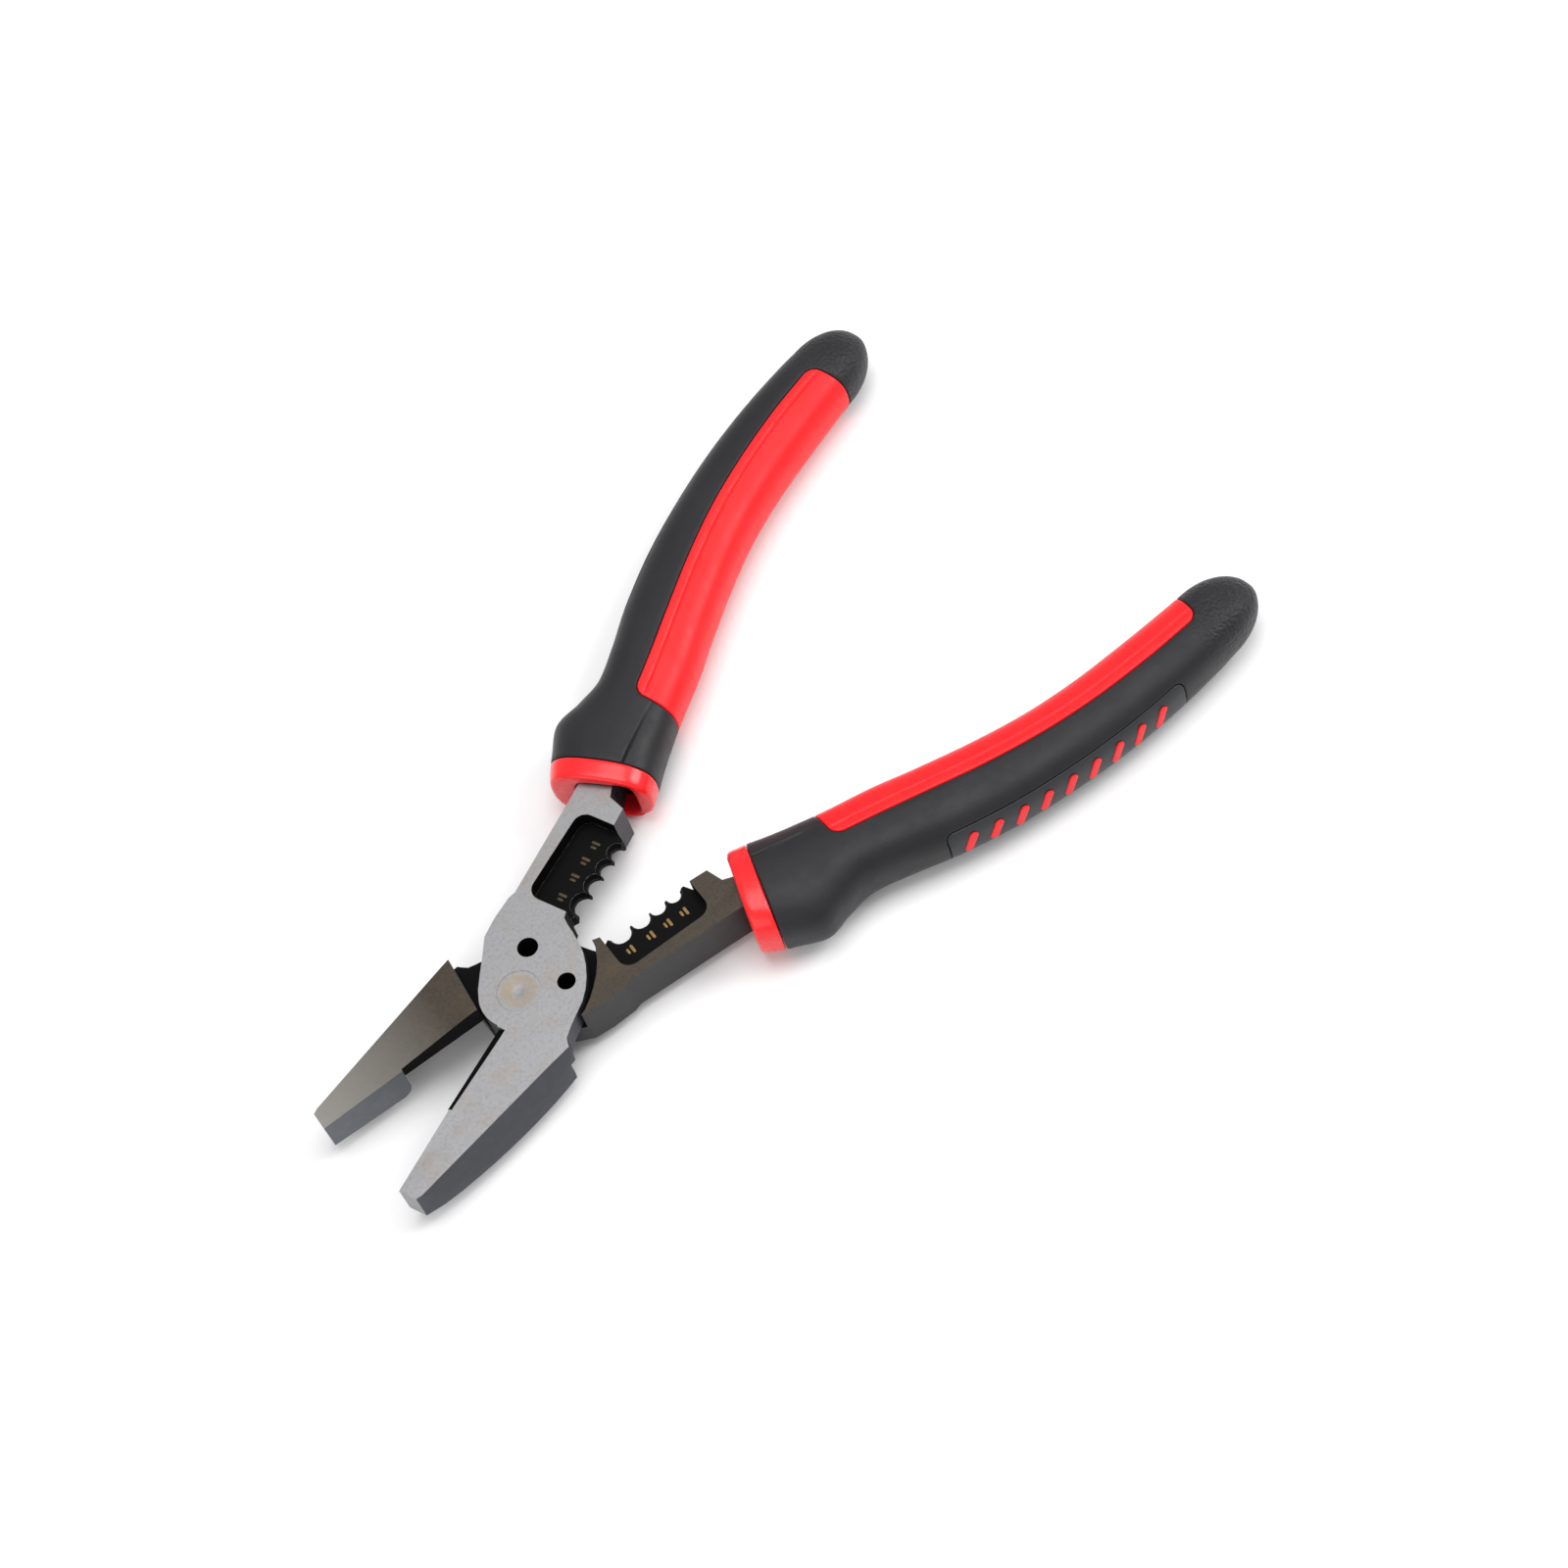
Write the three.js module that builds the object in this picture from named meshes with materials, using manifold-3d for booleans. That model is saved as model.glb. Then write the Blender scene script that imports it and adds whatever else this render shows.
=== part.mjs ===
// Wire stripper: nine-inch lap-jointed pliers with gripping jaws, side cutters, stripping notches behind the
// pivot, two screw-shearing holes and moulded two-colour grips. Millimetres, +Z up.
// Every arm is drawn closed, with its jaw on +Y and its handle on -Y, and the two are then swung open.
// The origin is on the pivot axis, on the flush front face of the rivet. +X points to the jaw tips.
import * as THREE from "three";
import { mergeVertices } from "three/addons/utils/BufferGeometryUtils.js";
import Module from "manifold-3d";

const wasm = await Module();
wasm.setup();

const DEG = Math.PI / 180;
const BEYOND = 60; // a cutting shape's reach past everything it cuts

// ---- driving dimensions -------------------------------------------------------------------------------------
const HALF_OPEN = 12.5 * DEG; // each arm's swing from closed, as the tool lies
const HEAD_HALF = 5.7; // half the thickness of the head
const LAP_GAP = 0.12; // half the gap between the two lapped plates
const FIT_GAP = 0.3; // between pieces that touch

const JAW_TIP_X = 51.5;
const JAW_TIP_HALF = 4.3; // half thickness at the tip
const JAW_TIP_Y = 5.4; // outer corner of the tip on the ground face
const JAW_HEEL = { x: 7.0, y: 17.4 }; // outer back corner of the jaw on the ground face
const JAW_BULGE = 2.2; // how far the forged side swells past the ground face's straight edge, at the back
const SIDE = { middle: 1.4, back: 2.6 }; // how far its two drafted faces lean out, at mid-thickness and at the back
const GRIP_FACE_Y = 0.9; // flat gripping face, set back from the closing line
const CUTTER = { back: 9.4, front: 30.6, edgeY: 0.15, edgeZ: 4.0, topY: 2.3, bottomY: 6.4 };
const BLOCK_CORNER = { r: 3.0, depth: 3.6 }; // where the gripping block's back end meets the jaw's back face

const PLATE_FREE_R = 9.1; // the plate's round edge between the jaws
const JAW_LAP_R = 9.9; // the other jaw's hollow round that edge

const SHEAR_HOLE_AT = 10.75; // distance of both screw-shearing holes from the pivot
const SHEAR_HOLES = { large: 2.4, small: 2.1 };
const SHEAR_ANGLES = { tangSide: -158.4 * DEG, jawSide: 127.7 * DEG };

const RIVET = { shank: 4.0, head: 4.9, headDepth: 1.6, clearance: 0.09 };

// Wire notches along the closing line, from the grip to the pivot: place and radius.
const NOTCHES = [
  { x: -40.2, r: 1.7 },
  { x: -35.8, r: 1.9 },
  { x: -31.2, r: 2.25 },
  { x: -25.8, r: 2.5 },
];
const NOTCH_LAND = 0.45; // half the height of the sharp land in a notch
const NOTCH_FLARE = 0.7; // extra radius where the notch meets the web's face
const TOOTH_Y = -0.12;
const WEB_HALF = 1.7; // half the thickness of the toothed web
const POCKET = { left: -44.4, right: -21.2, outerY: -11.4, corner: 3 };

const GUARD_X = -55.4; // where the tang steps down to go into the grip
const TANG_HALF = 4.1;
const TANG_END_X = -150;
const TANG_WIDTHS = { start: 4.0, end: 2.4 }; // half widths
const TANG_OFFSET = { start: 1.6, fade: 6 }; // from the grip's centre line at the guard, gone a sixth of the way

// The grip's stations from its front face to where the end cap starts. x and y are the centre line, inner and
// outer are the half widths towards and away from the other handle, and half is half the thickness.
const GRIP_STATIONS = [
  { x: -51.0, y: -12.8, inner: 13.3, outer: 10.4, half: 8.6 },
  { x: -57, y: -14.7, inner: 13.6, outer: 12.0, half: 8.8 },
  { x: -64, y: -16.0, inner: 12.9, outer: 14.0, half: 8.6 },
  { x: -70, y: -16.9, inner: 12.4, outer: 11.3, half: 8.3 },
  { x: -77, y: -17.8, inner: 11.8, outer: 9.2, half: 8.0 },
  { x: -87, y: -19.5, inner: 11.7, outer: 9.6, half: 8.0 },
  { x: -98, y: -21.6, inner: 11.1, outer: 10.5, half: 8.0 },
  { x: -112, y: -24.1, inner: 10.7, outer: 10.5, half: 7.9 },
  { x: -126, y: -25.7, inner: 10.3, outer: 9.9, half: 7.9 },
  { x: -140, y: -26.0, inner: 10.1, outer: 9.6, half: 7.8 },
  { x: -154, y: -25.2, inner: 9.9, outer: 9.2, half: 7.8 },
  { x: -166, y: -23.7, inner: 9.3, outer: 8.8, half: 7.6 },
  { x: -172, y: -22.8, inner: 9.0, outer: 8.4, half: 7.4 },
];
const GRIP_CAP = 13.6; // length of the rounded end beyond the last station
const GRIP_POWER = 2.6; // 2 is an ellipse, more is squarer
const SKIN = 2.2; // thickness of the outer shots over the sleeve
const COLLAR_LENGTH = 5.2;
const COLLAR_BORE = { inner: 9.8, outer: 3.8, half: 6.1 }; // from the grip's centre line

const INLAY = { front: -75.3, back: -169.8, corner: 3.5, overTop: 1.4 };
const PANEL = { front: -94, middle: -125, back: -157.3, half: 4.9, depth: 1.2, side: 4, middleSide: 5 };

const COLOURS = {
  ground: { color: 0xaaaaaf, roughness: 0.45, metalness: 0.9 },
  oxide: { color: 0x46403a, roughness: 0.5, metalness: 0.8 },
  rivet: { color: 0xa39a8c, roughness: 0.4, metalness: 0.9 },
  red: { color: 0xf02a34, roughness: 0.45, metalness: 0 },
  gloss: { color: 0xf6303a, roughness: 0.25, metalness: 0 },
  black: { color: 0x2c2d30, roughness: 0.7, metalness: 0 },
  panel: { color: 0x3a3b3e, roughness: 0.55, metalness: 0 },
  sleeve: { color: 0x5a5a5c, roughness: 0.6, metalness: 0 },
};

// ---- solids ---------------------------------------------------------------------------------------------------
function solid(geometry) {
  const plain = new THREE.BufferGeometry();
  const source = geometry.index ? geometry.toNonIndexed() : geometry;
  plain.setAttribute("position", source.getAttribute("position").clone());
  const merged = mergeVertices(plain, 1e-4);
  return new wasm.Manifold(
    new wasm.Mesh({
      numProp: 3,
      vertProperties: merged.attributes.position.array,
      triVerts: new Uint32Array(merged.index.array),
    }),
  );
}

function geometryOf(body, mirrored) {
  const mesh = body.getMesh();
  const flip = mirrored ? -1 : 1;
  const positions = new Float32Array(mesh.numVert * 3);
  for (let i = 0; i < mesh.numVert; i++) {
    const at = i * mesh.numProp;
    positions[i * 3] = mesh.vertProperties[at];
    positions[i * 3 + 1] = mesh.vertProperties[at + 1] * flip;
    positions[i * 3 + 2] = mesh.vertProperties[at + 2];
  }
  const index = Array.from(mesh.triVerts);
  if (mirrored) {
    for (let i = 0; i < index.length; i += 3) {
      [index[i + 1], index[i + 2]] = [index[i + 2], index[i + 1]];
    }
  }
  const geometry = new THREE.BufferGeometry();
  geometry.setAttribute("position", new THREE.BufferAttribute(positions, 3));
  geometry.setIndex(index);
  const faceted = geometry.toNonIndexed();
  faceted.computeVertexNormals();
  return faceted;
}

function slab(points, low, high) {
  const shape = new THREE.Shape(points.map(([x, y]) => new THREE.Vector2(x, y)));
  const geometry = new THREE.ExtrudeGeometry(shape, { depth: high - low, bevelEnabled: false });
  return solid(geometry.translate(0, 0, low));
}

function arc(cx, cy, r, from, to, steps) {
  const points = [];
  for (let i = 0; i <= steps; i++) {
    const a = from + ((to - from) * i) / steps;
    points.push([cx + r * Math.cos(a), cy + r * Math.sin(a)]);
  }
  return points;
}

// A solid turned about the Z axis through (x, y), from a profile of [radius, height] pairs that starts and
// ends on the axis.
function turned(profile, x, y, segments) {
  const lathe = new THREE.LatheGeometry(
    profile.map(([r, h]) => new THREE.Vector2(r, h)),
    segments,
  );
  return solid(lathe.rotateX(Math.PI / 2).translate(x, y, 0));
}

function drilled(r, x, y, segments = 32) {
  const reach = HEAD_HALF + 1;
  return turned([[0, -reach], [r, -reach], [r, reach], [0, reach]], x, y, segments);
}

// A long prism along a line in plan: section holds [outward, height] points, outward to the left of the line.
function prismAlong(start, end, section) {
  const shape = new THREE.Shape(section.map(([u, z]) => new THREE.Vector2(u, z)));
  const from = new THREE.Vector3(start[0], start[1], 0);
  const along = new THREE.Vector3(end[0], end[1], 0).sub(from);
  const depth = along.length();
  along.normalize();
  const up = new THREE.Vector3(0, 0, 1);
  const outward = new THREE.Vector3().crossVectors(up, along);
  const geometry = new THREE.ExtrudeGeometry(shape, { depth, bevelEnabled: false });
  geometry.applyMatrix4(new THREE.Matrix4().makeBasis(outward, up, along).setPosition(from));
  return solid(geometry);
}

// A prism across the jaw from an outline of [x, height] points, reaching out to the given y.
function acrossJaw(points, outerY) {
  const shape = new THREE.Shape(points.map(([x, z]) => new THREE.Vector2(x, z)));
  const geometry = new THREE.ExtrudeGeometry(shape, { depth: BEYOND, bevelEnabled: false });
  return solid(geometry.rotateX(Math.PI / 2).translate(0, outerY, 0));
}

// ---- steel arms -------------------------------------------------------------------------------------------------
function jawSlope() {
  return (JAW_HEEL.y - JAW_TIP_Y) / (JAW_TIP_X - JAW_HEEL.x);
}

function jawSide() {
  const points = [];
  const steps = 10;
  for (let i = 0; i <= steps; i++) {
    const t = i / steps;
    const swell = JAW_BULGE * Math.pow(Math.sin(Math.PI * Math.min(t, 0.98)), 0.6);
    points.push([
      THREE.MathUtils.lerp(JAW_TIP_X, JAW_HEEL.x, t) + 0.25 * swell,
      THREE.MathUtils.lerp(JAW_TIP_Y, JAW_HEEL.y, t) + 0.97 * swell,
    ]);
  }
  return points;
}

function armOutline() {
  return [
    [JAW_TIP_X, GRIP_FACE_Y],
    ...jawSide(),
    [6.3, 16.9],
    [5.2, 15.9],
    [2.6, 15.3],
    [-0.8, 14.8],
    [-3.9, 14.4],
    [-6.8, 13.4],
    [-9.3, 12.1],
    [-11.9, 10.3],
    [-14.1, 8.2],
    [-15.8, 6.0],
    [-17.4, 3.5],
    [-18.6, 1.3],
    [-19.7, -0.3],
    [-21.5, -0.8],
    [-22.6, TOOTH_Y],
    [-43.2, TOOTH_Y],
    [-44.4, -2.3],
    [-48.9, -2.6],
    [-50.2, -6.9],
    [GUARD_X, -9.0],
    [GUARD_X, -15.8],
    [-47, -15.2],
    [-20.5, -14.0],
    [-18.6, -14.6],
    [-13, -14.8],
    [-8.2, -14.4],
    [-3.8, -12.2],
    [0.6, -10.1],
    [3.6, -8.6],
    ...arc(0, 0, PLATE_FREE_R, -58 * DEG, 1 * DEG, 10),
    [CUTTER.back + 0.4, CUTTER.edgeY],
    [CUTTER.front, CUTTER.edgeY],
    [CUTTER.front, GRIP_FACE_Y],
  ];
}

// The part of the plan where an arm gives up half its thickness to the other arm's plate.
function lapOutline() {
  return [
    ...arc(0, 0, JAW_LAP_R, -60 * DEG, 12 * DEG, 12),
    [8.1, 16.9],
    [9.3, 18.3],
    [9.3, 22],
    [-22, 22],
    [-22, 4],
    [-19.6, 0.6],
    [-19.3, -1.8],
    [-17.6, -5.2],
    [-15.6, -7.9],
    [-13.4, -10.1],
    [-11.3, -11.9],
    [-8.9, -13.5],
    [-7.6, -14.0],
    [-5.6, -22],
    [8, -22],
  ];
}

// Centre line of the tang inside the grip, and its half width there.
function tangAt(x) {
  const t = (GUARD_X - x) / (GUARD_X - TANG_END_X);
  const centre = gripCentre(x) + TANG_OFFSET.start * Math.max(0, 1 - TANG_OFFSET.fade * t);
  return { centre, half: THREE.MathUtils.lerp(TANG_WIDTHS.start, TANG_WIDTHS.end, t) };
}

function tangOutline(grow) {
  const inner = [];
  const outer = [];
  const steps = 12;
  for (let i = 0; i <= steps; i++) {
    const front = GUARD_X + (grow ? 2 : 0.5);
    const x = THREE.MathUtils.lerp(front, TANG_END_X - grow, i / steps);
    const at = tangAt(x);
    inner.push([x, at.centre + at.half + grow]);
    outer.push([x, at.centre - at.half - grow]);
  }
  return [...inner, ...outer.reverse()];
}

function pocketOutline() {
  const { left, right, outerY, corner } = POCKET;
  return [
    [right, 6],
    [left, 6],
    ...arc(left + corner, outerY + corner, corner, 180 * DEG, 270 * DEG, 6),
    ...arc(right - corner, outerY + corner, corner, 270 * DEG, 360 * DEG, 6),
  ];
}

function notch({ x, r }) {
  const wide = r + NOTCH_FLARE;
  const reach = HEAD_HALF;
  return turned(
    [
      [0, -reach],
      [wide, -reach],
      [wide, -WEB_HALF],
      [r, -NOTCH_LAND],
      [r, NOTCH_LAND],
      [wide, WEB_HALF],
      [wide, reach],
      [0, reach],
    ],
    x,
    0,
    24,
  );
}

function rivetProfile(grow) {
  const top = HEAD_HALF + (grow ? 1 : 0);
  const coneStart = HEAD_HALF - RIVET.headDepth;
  return [
    [0, -top],
    [RIVET.head + grow, -top],
    [RIVET.head + grow, -HEAD_HALF + 0.4],
    [RIVET.shank + grow, -coneStart],
    [RIVET.shank + grow, coneStart],
    [RIVET.head + grow, HEAD_HALF - 0.4],
    [RIVET.head + grow, top],
    [0, top],
  ];
}

// plateSide is +1 where the arm's plate is the upper one, and -1 where it is the lower one.
function arm(plateSide, tangSideHole, jawSideHole) {
  let body = slab(armOutline(), -HEAD_HALF, HEAD_HALF);
  body = body.add(slab(tangOutline(0), -TANG_HALF, TANG_HALF));

  const lapLow = plateSide > 0 ? -HEAD_HALF - 1 : -LAP_GAP;
  const lapHigh = plateSide > 0 ? LAP_GAP : HEAD_HALF + 1;
  body = body.subtract(slab(lapOutline(), lapLow, lapHigh));

  // The forged side of the jaw leans out from the straight edge of its front ground face, in two drafted faces.
  const edgeStart = [JAW_HEEL.x - 6, JAW_HEEL.y + 6 * jawSlope()];
  const edgeEnd = [JAW_TIP_X + 4, JAW_TIP_Y - 4 * jawSlope()];
  const clear = 2;
  const draft = [
    [0, HEAD_HALF + clear],
    [0, HEAD_HALF],
    [SIDE.middle, 0],
    [SIDE.back, -HEAD_HALF],
    [SIDE.back, -HEAD_HALF - clear],
    [SIDE.back + 8, -HEAD_HALF - clear],
    [SIDE.back + 8, HEAD_HALF + clear],
  ];
  body = body.subtract(prismAlong(edgeStart, edgeEnd, draft));

  // The jaw thins towards its tip on both faces.
  for (const side of [1, -1]) {
    const thinStart = 12;
    const beyond = JAW_TIP_X + 6;
    const slope = (HEAD_HALF - JAW_TIP_HALF) / (JAW_TIP_X - thinStart);
    const low = side * (HEAD_HALF - slope * (beyond - thinStart));
    const high = side * (HEAD_HALF + 2);
    const wedge = [[thinStart, side * HEAD_HALF], [beyond, low], [beyond, high], [thinStart, high]];
    body = body.subtract(acrossJaw(wedge, 30));
  }

  // Side cutter: a short bevel from the front face to the edge, and a long relief behind it.
  const c = CUTTER;
  const relief = [
    [-BEYOND, HEAD_HALF + 1],
    [c.topY + 1, HEAD_HALF + 0.8],
    [c.edgeY, c.edgeZ],
    [c.bottomY, -HEAD_HALF],
    [c.bottomY, -HEAD_HALF - 1],
    [-BEYOND, -HEAD_HALF - 1],
  ];
  body = body.subtract(prismAlong([c.back, 0], [c.front, 0], relief));

  // The gripping block's back end is rounded where it meets the jaw's back face.
  const { r: round, depth } = BLOCK_CORNER;
  const back = -HEAD_HALF + 0.7;
  const corner = [
    ...arc(c.front + round, back + round, round, 180 * DEG, 270 * DEG, 6),
    [c.front + round, -HEAD_HALF - 1],
    [c.front - 0.1, -HEAD_HALF - 1],
    [c.front - 0.1, back + round],
  ];
  body = body.subtract(acrossJaw(corner, depth));

  for (const side of [1, -1]) {
    const low = side > 0 ? WEB_HALF : -HEAD_HALF - 1;
    const high = side > 0 ? HEAD_HALF + 1 : -WEB_HALF;
    body = body.subtract(slab(pocketOutline(), low, high));
  }
  for (const place of NOTCHES) body = body.subtract(notch(place));

  const { tangSide, jawSide: jawSideAngle } = SHEAR_ANGLES;
  for (const [r, a] of [[tangSideHole, tangSide], [jawSideHole, jawSideAngle]]) {
    body = body.subtract(drilled(r, SHEAR_HOLE_AT * Math.cos(a), SHEAR_HOLE_AT * Math.sin(a)));
  }
  return body.subtract(turned(rivetProfile(RIVET.clearance), 0, 0, 48));
}

// ---- grips ------------------------------------------------------------------------------------------------------
function stationCurve(first, second) {
  const points = GRIP_STATIONS.map((s) => new THREE.Vector3(s[first], s[second], 0));
  return new THREE.CatmullRomCurve3(points, false, "catmullrom", 0.5);
}

const gripLine = stationCurve("x", "y");
const gripWidths = stationCurve("inner", "outer");
const gripHeights = stationCurve("half", "half");

// How far along the stations, from 0 to 1, a length along the centre line reaches.
function stationAt(length) {
  return gripLine.getUtoTmapping(length / gripLine.getLength());
}

function gripCentre(x) {
  let low = 0;
  let high = 1;
  for (let i = 0; i < 30; i++) {
    const mid = (low + high) / 2;
    if (gripLine.getPoint(mid).x > x) low = mid;
    else high = mid;
  }
  return gripLine.getPoint(low).y;
}

// One ring of the grip at t from 0 (front) to 1, pulled in by inset, then carried on round the end cap by
// cap from 0 to 1.
function gripRing(t, cap, inset, around) {
  const centre = gripLine.getPoint(t);
  const along = gripLine.getTangent(t);
  const across = new THREE.Vector3(along.y, -along.x, 0); // towards the other handle
  const widths = gripWidths.getPoint(t);
  const half = gripHeights.getPoint(t).x - inset;
  const shrink = Math.cos((cap * Math.PI) / 2);
  centre.addScaledVector(along, (GRIP_CAP - inset) * Math.sin((cap * Math.PI) / 2));
  const ring = [];
  for (let i = 0; i < around; i++) {
    const a = (2 * Math.PI * i) / around;
    const c = Math.cos(a);
    const s = Math.sin(a);
    const width = (c > 0 ? widths.x : widths.y) - inset;
    const u = Math.sign(c) * Math.pow(Math.abs(c), 2 / GRIP_POWER) * width * shrink;
    const v = Math.sign(s) * Math.pow(Math.abs(s), 2 / GRIP_POWER) * half * shrink;
    ring.push(centre.clone().addScaledVector(across, u).add(new THREE.Vector3(0, 0, v)));
  }
  return ring;
}

function skinned(rings) {
  const around = rings[0].length;
  const positions = rings.flat().flatMap((p) => [p.x, p.y, p.z]);
  const index = [];
  for (let i = 0; i + 1 < rings.length; i++) {
    for (let j = 0; j < around; j++) {
      const k = (j + 1) % around;
      const [a, b, c, d] = [i * around + j, i * around + k, (i + 1) * around + k, (i + 1) * around + j];
      index.push(a, b, c, a, c, d);
    }
  }
  for (const [i, turn] of [[0, 1], [rings.length - 1, -1]]) {
    const middle = rings[i].reduce((sum, p) => sum.add(p), new THREE.Vector3()).divideScalar(around);
    const hub = positions.length / 3;
    positions.push(middle.x, middle.y, middle.z);
    for (let j = 0; j < around; j++) {
      const k = (j + 1) % around;
      if (turn > 0) index.push(hub, i * around + k, i * around + j);
      else index.push(hub, i * around + j, i * around + k);
    }
  }
  const geometry = new THREE.BufferGeometry();
  geometry.setAttribute("position", new THREE.Float32BufferAttribute(positions, 3));
  geometry.setIndex(index);
  const made = solid(geometry);
  if (made.volume() > 0) return made;
  geometry.setIndex(index.reverse());
  return solid(geometry);
}

function gripBody(from, inset, along = 24, around = 24) {
  const rings = [];
  for (let i = 0; i <= along; i++) {
    rings.push(gripRing(from + ((1 - from) * i) / along, 0, inset, around));
  }
  for (const cap of [0.25, 0.5, 0.72, 0.9]) rings.push(gripRing(1, cap, inset, around));
  return skinned(rings);
}

// The grip's front block, cut off by the plane square to its centre line after the given length.
function gripFront(length, inset) {
  const end = stationAt(length);
  const rings = [];
  const steps = 4;
  for (let i = 0; i <= steps; i++) rings.push(gripRing((end * i) / steps, 0, inset, 32));
  return skinned(rings);
}

function collarBore() {
  const start = gripLine.getPoint(0);
  const way = gripLine.getTangent(0);
  const { inner, outer, half } = COLLAR_BORE;
  const section = [[-inner, -half], [outer, -half], [outer, half], [-inner, half]];
  const from = [start.x - way.x * 4, start.y - way.y * 4];
  const to = [start.x + way.x * 14, start.y + way.y * 14];
  return prismAlong(from, to, section);
}

function inlayOutline(shrink) {
  const { front, back, corner, overTop } = INLAY;
  const edge = [];
  const steps = 14;
  const first = front - corner - shrink;
  const last = back + corner + shrink;
  for (let i = 0; i <= steps; i++) {
    const x = THREE.MathUtils.lerp(first, last, i / steps);
    const lift = THREE.MathUtils.lerp(overTop + 0.8, overTop - 1.4, i / steps);
    edge.push([x, gripCentre(x) + lift + shrink]);
  }
  const [x0, y0] = edge[0];
  const [x1, y1] = edge[steps];
  return [
    ...arc(x0, y0 + corner, corner, 0, -90 * DEG, 5).slice(0, -1),
    ...edge,
    ...arc(x1, y1 + corner, corner, 270 * DEG, 180 * DEG, 5).slice(1),
    [back + shrink, 6],
    [front - shrink, 6],
  ];
}

function panelBlock(grow) {
  const { front, middle, back, half, side, middleSide } = PANEL;
  return slab(
    [
      [front + grow, gripCentre(front) - side],
      [front + grow, -BEYOND],
      [back - grow, -BEYOND],
      [back - grow, gripCentre(back) - side],
      [middle, gripCentre(middle) - middleSide],
    ],
    -half - grow,
    half + grow,
  );
}

function gripPieces() {
  const tall = 20;
  const collar = gripFront(COLLAR_LENGTH, 0).subtract(collarBore());
  const start = stationAt(COLLAR_LENGTH + FIT_GAP);
  const outside = gripBody(start, 0);
  const sleeve = gripBody(start, SKIN + FIT_GAP).subtract(
    slab(tangOutline(FIT_GAP), -TANG_HALF - FIT_GAP, TANG_HALF + FIT_GAP),
  );
  const shell = outside.subtract(gripBody(start - 0.01, SKIN));
  const inlay = shell.intersect(slab(inlayOutline(FIT_GAP / 2), -tall, tall));
  const underPanel = gripBody(start - 0.01, PANEL.depth);
  const recess = panelBlock(FIT_GAP).subtract(gripBody(start - 0.01, PANEL.depth + FIT_GAP));
  const panel = outside.intersect(panelBlock(0)).subtract(underPanel);
  const cover = shell.subtract(slab(inlayOutline(-FIT_GAP / 2), -tall, tall)).subtract(recess);
  return { collar, sleeve, cover, inlay, panel };
}

// ---- assembly -----------------------------------------------------------------------------------------------------
function mesh(name, body, look, mirrored) {
  const made = new THREE.Mesh(geometryOf(body, mirrored), new THREE.MeshStandardMaterial(COLOURS[look]));
  made.name = name;
  return made;
}

const grip = gripPieces();

function handle(side, mirrored) {
  return [
    mesh(side + "_grip_collar", grip.collar, "gloss", mirrored),
    mesh(side + "_grip_sleeve", grip.sleeve, "sleeve", mirrored),
    mesh(side + "_grip_cover", grip.cover, "black", mirrored),
    mesh(side + "_grip_inlay", grip.inlay, "red", mirrored),
    mesh(side + "_grip_panel", grip.panel, "panel", mirrored),
  ];
}

const front = new THREE.Group();
front.rotation.z = HALF_OPEN;
front.add(mesh("front_arm", arm(1, SHEAR_HOLES.large, SHEAR_HOLES.small), "ground", false));
front.add(...handle("front", false));

const rear = new THREE.Group();
rear.rotation.z = -HALF_OPEN;
rear.add(mesh("rear_arm", arm(-1, SHEAR_HOLES.small, SHEAR_HOLES.large), "oxide", true));
rear.add(mesh("pivot_rivet", turned(rivetProfile(0), 0, 0, 48), "rivet", false));
rear.add(...handle("rear", true));

const tool = new THREE.Group();
tool.position.z = -HEAD_HALF;
tool.add(front, rear);

const wireStripper = new THREE.Group();
wireStripper.add(tool);

export default wireStripper;
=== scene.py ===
"""Looks of the wire stripper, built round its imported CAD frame. Metres, in the frame of the CAD.

Lengths in the shape functions are millimetres in the closed tool's own plan, where an arm has its jaw on +Y
and its handle on -Y. place() swings that plan open and turns it into metres.
"""

import math

import bmesh  # noqa: E402
import bpy  # noqa: E402
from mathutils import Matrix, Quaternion, Vector  # noqa: E402


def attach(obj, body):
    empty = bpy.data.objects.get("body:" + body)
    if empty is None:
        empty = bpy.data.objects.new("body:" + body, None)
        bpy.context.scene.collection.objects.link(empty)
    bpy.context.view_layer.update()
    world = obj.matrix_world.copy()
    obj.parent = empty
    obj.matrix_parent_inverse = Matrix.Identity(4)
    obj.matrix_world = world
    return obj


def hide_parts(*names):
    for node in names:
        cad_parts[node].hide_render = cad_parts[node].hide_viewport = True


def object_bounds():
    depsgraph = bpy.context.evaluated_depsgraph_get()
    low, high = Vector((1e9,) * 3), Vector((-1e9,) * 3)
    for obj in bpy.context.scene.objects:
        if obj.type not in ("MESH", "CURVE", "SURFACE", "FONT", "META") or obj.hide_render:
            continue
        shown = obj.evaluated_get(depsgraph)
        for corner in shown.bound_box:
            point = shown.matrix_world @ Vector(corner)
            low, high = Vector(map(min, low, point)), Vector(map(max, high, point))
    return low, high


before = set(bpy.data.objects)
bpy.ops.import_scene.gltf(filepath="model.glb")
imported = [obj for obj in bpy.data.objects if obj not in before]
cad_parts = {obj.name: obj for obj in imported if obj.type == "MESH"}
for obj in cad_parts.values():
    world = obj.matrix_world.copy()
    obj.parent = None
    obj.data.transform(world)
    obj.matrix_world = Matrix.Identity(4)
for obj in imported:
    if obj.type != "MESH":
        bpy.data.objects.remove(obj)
cad_low, cad_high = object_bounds()

MM = 0.001
HALF_OPEN = math.radians(12.5)
SWING = {"front": HALF_OPEN, "rear": -HALF_OPEN}
HEAD_HALF = 5.7
LAP_GAP = 0.12

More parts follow.
